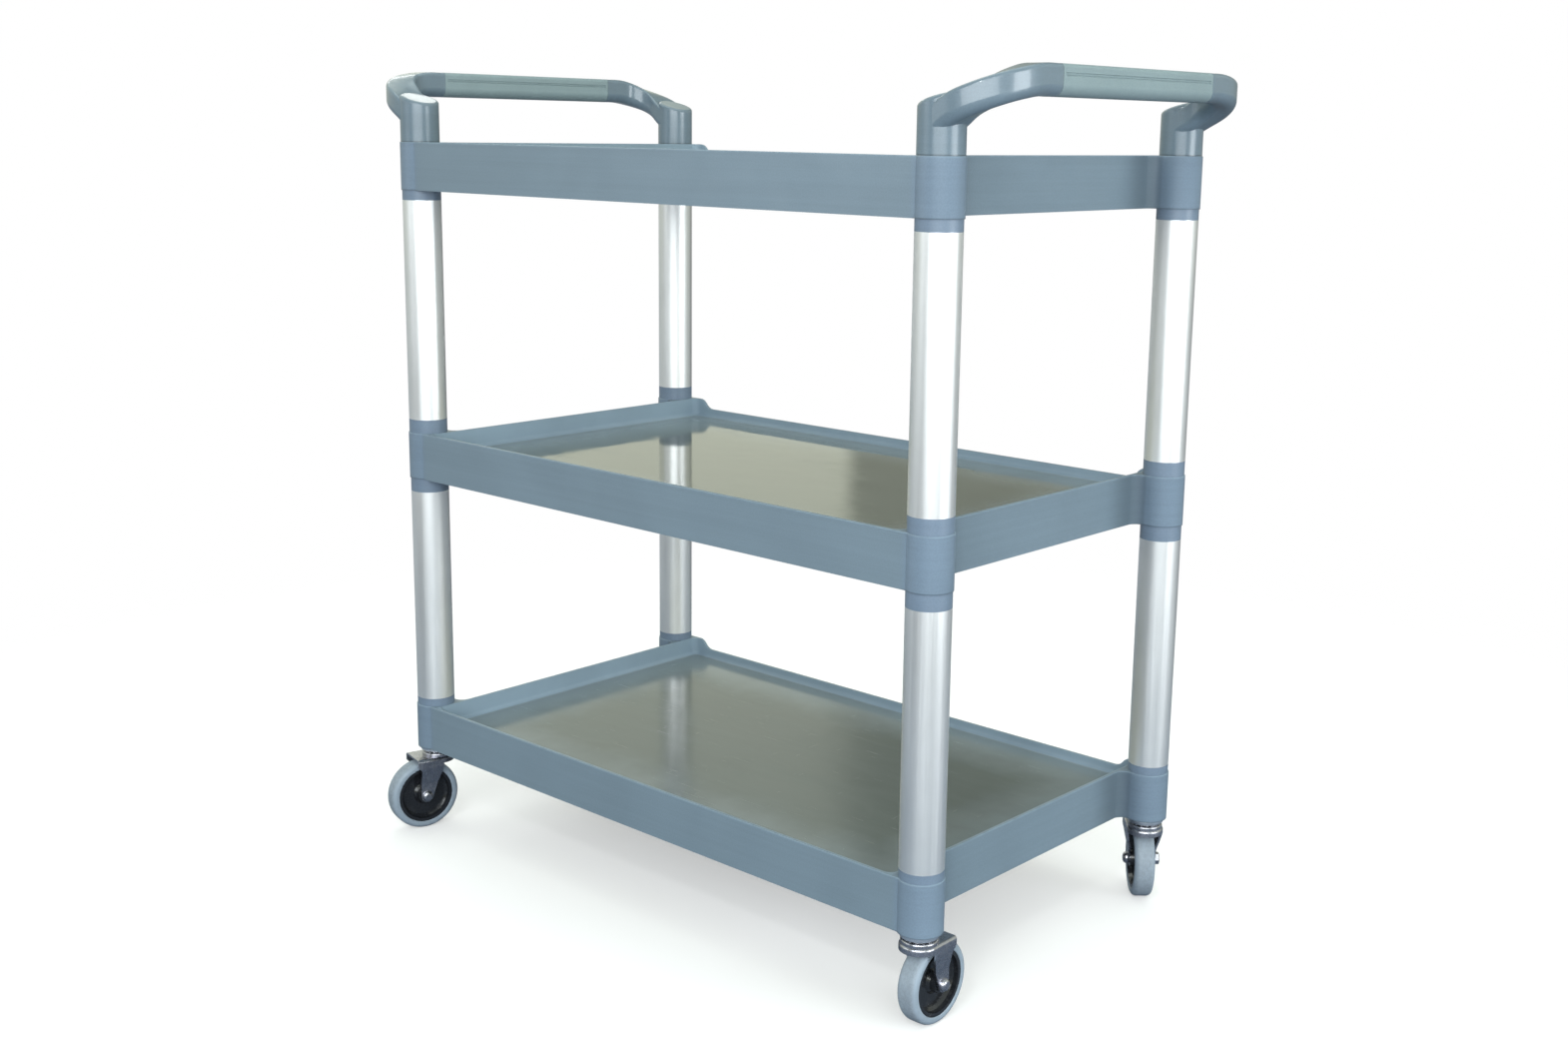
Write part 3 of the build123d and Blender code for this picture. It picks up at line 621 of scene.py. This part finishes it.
def floor_finish():
    finish = Finish("floor_paper")
    tone = finish.spread(finish.noise(3.0, 3.0, 0.5), 0.3, 0.7, 0.985, 1.0)
    seen = finish.new("ShaderNodeLightPath").outputs["Is Camera Ray"]
    colour = finish.shade(finish.blend(seen, FLOOR_REFLECTED, FLOOR_WHITE), tone)
    glow = finish.times(seen, FLOOR_GLOW)
    # The floor is clear far out, and from underneath.
    far = finish.spread(finish.length(finish.x, finish.y), *FLOOR_FADE)
    behind = finish.new("ShaderNodeNewGeometry").outputs["Backfacing"]
    hidden = finish.math("MAXIMUM", far, behind)
    clear = finish.new("ShaderNodeBsdfTransparent").outputs[0]
    finish.put(finish.surface, finish.blend_shaders(hidden, finish.shader.outputs[0], clear))
    return finish.finish(Base_Color=colour, Roughness=0.8,
                         Emission_Color=(1.0, 1.0, 1.0), Emission_Strength=glow)


def make_floor():
    mesh = bpy.data.meshes.new("floor")
    turns = [radians(360 * i / FLOOR_SIDES) for i in range(FLOOR_SIDES)]
    ring = [(FLOOR_RADIUS * cos(turn), FLOOR_RADIUS * sin(turn), 0.0) for turn in turns]
    mesh.from_pydata(ring, [], [list(range(FLOOR_SIDES))])
    floor = bpy.data.objects.new("floor", mesh)
    bpy.context.scene.collection.objects.link(floor)
    mesh.materials.append(floor_finish())
    return floor


def fill_ramp(elements, stops):
    """A new ramp has a stop at each end. The rest are added."""
    elements[0].color = (*stops[0][1], 1.0)
    elements[1].color = (*stops[-1][1], 1.0)
    for position, colour in stops[1:-1]:
        elements.new(position).color = (*colour, 1.0)


def make_world():
    """White to the camera. What the trolley reflects is a dim greenish room, brighter to the sides."""
    world = bpy.data.worlds.new("studio")
    world.use_nodes = True
    bpy.context.scene.world = world
    room = Nodes(world.node_tree)
    split = room.new("ShaderNodeSeparateXYZ")
    room.put(split.inputs[0], room.new("ShaderNodeTexCoord").outputs["Generated"])
    x, y, z = split.outputs
    height = room.new("ShaderNodeMapRange")
    height.inputs["From Min"].default_value = -1.0
    room.put(height.inputs["Value"], z)
    ramp = room.new("ShaderNodeValToRGB")
    room.put(ramp.inputs[0], height.outputs["Result"])
    fill_ramp(ramp.color_ramp.elements, ROOM_BY_HEIGHT)
    heading = room.math("DIVIDE", x, room.length(x, y))
    walls = room.new("ShaderNodeBackground")
    room.put(walls.inputs["Color"], ramp.outputs[0])
    brightness = room.plus(room.spread(heading, *ROOM_LEFT), room.spread(heading, *ROOM_RIGHT))
    room.put(walls.inputs["Strength"], brightness)
    backdrop = room.new("ShaderNodeBackground")
    room.put(backdrop.inputs["Color"], BACKGROUND)
    seen = room.new("ShaderNodeLightPath").outputs["Is Camera Ray"]
    shown = room.blend_shaders(seen, walls.outputs[0], backdrop.outputs[0])
    room.put(room.new("ShaderNodeOutputWorld").inputs["Surface"], shown)


def light_group(name, members):
    group = bpy.data.collections.new(name)
    for member in members:
        group.objects.link(member)
    return group


def add_light(name, place, target, size, power, colour, lit=None, mirrored=True):
    """A rectangle of light. It lights everything unless it is given a group."""
    light = bpy.data.lights.new(name, "AREA")
    light.shape = "RECTANGLE"
    light.size, light.size_y = size
    light.energy = power
    light.color = colour
    lamp = bpy.data.objects.new(name, light)
    lamp.location = place
    lamp.rotation_euler = (Vector(target) - Vector(place)).to_track_quat("-Z", "Y").to_euler()
    lamp.visible_glossy = mirrored
    if lit is not None:
        lamp.light_linking.receiver_collection = lit
    bpy.context.scene.collection.objects.link(lamp)


def make_lights(floor):
    nodes = sorted(frame["nodes"].items())
    shelves = [node for name, node in nodes if name in SHELVES]
    others = [node for name, node in nodes if name not in SHELVES]
    shelves_only = light_group("shelves_only", shelves)
    all_but_shelves = light_group("all_but_shelves", others + [floor])

    def add_window(name, place, target, size, power):
        """A big light. The shelves don't mirror it, or their decks would glare from behind."""
        add_light(name, place, target, size, power, WINDOW_COLOUR, lit=all_but_shelves)
        add_light(name + "_on_shelves", place, target, size, power * MATTE_GAIN, WINDOW_COLOUR,
                  lit=shelves_only, mirrored=False)

    add_window("window", (1.80, -2.62, 1.42), (0, 0, 0.50), (3.6, 1.4), 104.0)
    add_light("left_window", (-1.50, -2.90, 1.20), (0, 0, 0.50), (1.6, 1.5), 13.0, WINDOW_COLOUR)
    add_window("right_window", (3.20, 0.40, 0.85), (0, 0, 0.45), (1.5, 1.0), 46.0)
    add_light("lamp", (1.30, -2.30, 2.30), (0, 0, 0.85), (0.24, 0.18), 13.0, LAMP_COLOUR)
    add_light("left_strip", (-2.3, 1.0, 2.2), (0, 0, 0.95), (0.90, 0.25), 2.9, STRIP_COLOUR)
    add_light("ceiling", (-0.3, 0.4, 3.2), (0, 0, 0.5), (2.6, 1.8), 22.0, CEILING_COLOUR)
    add_light("back_fill", (-1.2, 3.0, 1.2), (0, 0, 0.5), (2.4, 1.4), 24.0, FILL_COLOUR, mirrored=False)


def make_camera():
    data = bpy.data.cameras.new("camera")
    data.lens = CAMERA_LENS
    data.sensor_width = SENSOR_WIDTH
    data.shift_x, data.shift_y = CAMERA_SHIFT
    data.clip_start, data.clip_end = CAMERA_CLIP
    ahead = cos(CAMERA_PITCH)
    forward = Vector((-sin(CAMERA_YAW) * ahead, cos(CAMERA_YAW) * ahead, -sin(CAMERA_PITCH)))
    level = Vector((cos(CAMERA_YAW), sin(CAMERA_YAW), 0.0))
    upright = level.cross(forward)
    right = level * cos(CAMERA_ROLL) + upright * sin(CAMERA_ROLL)
    up = upright * cos(CAMERA_ROLL) - level * sin(CAMERA_ROLL)
    turn = Matrix((right, up, -forward)).transposed()
    camera = bpy.data.objects.new("camera", data)
    camera.matrix_world = Matrix.Translation(CAMERA_PLACE) @ turn.to_4x4()
    bpy.context.scene.collection.objects.link(camera)
    bpy.context.scene.camera = camera


stage_floor = make_floor()
make_world()
make_lights(stage_floor)
make_camera()
bpy.context.scene.view_settings.view_transform = "Standard"
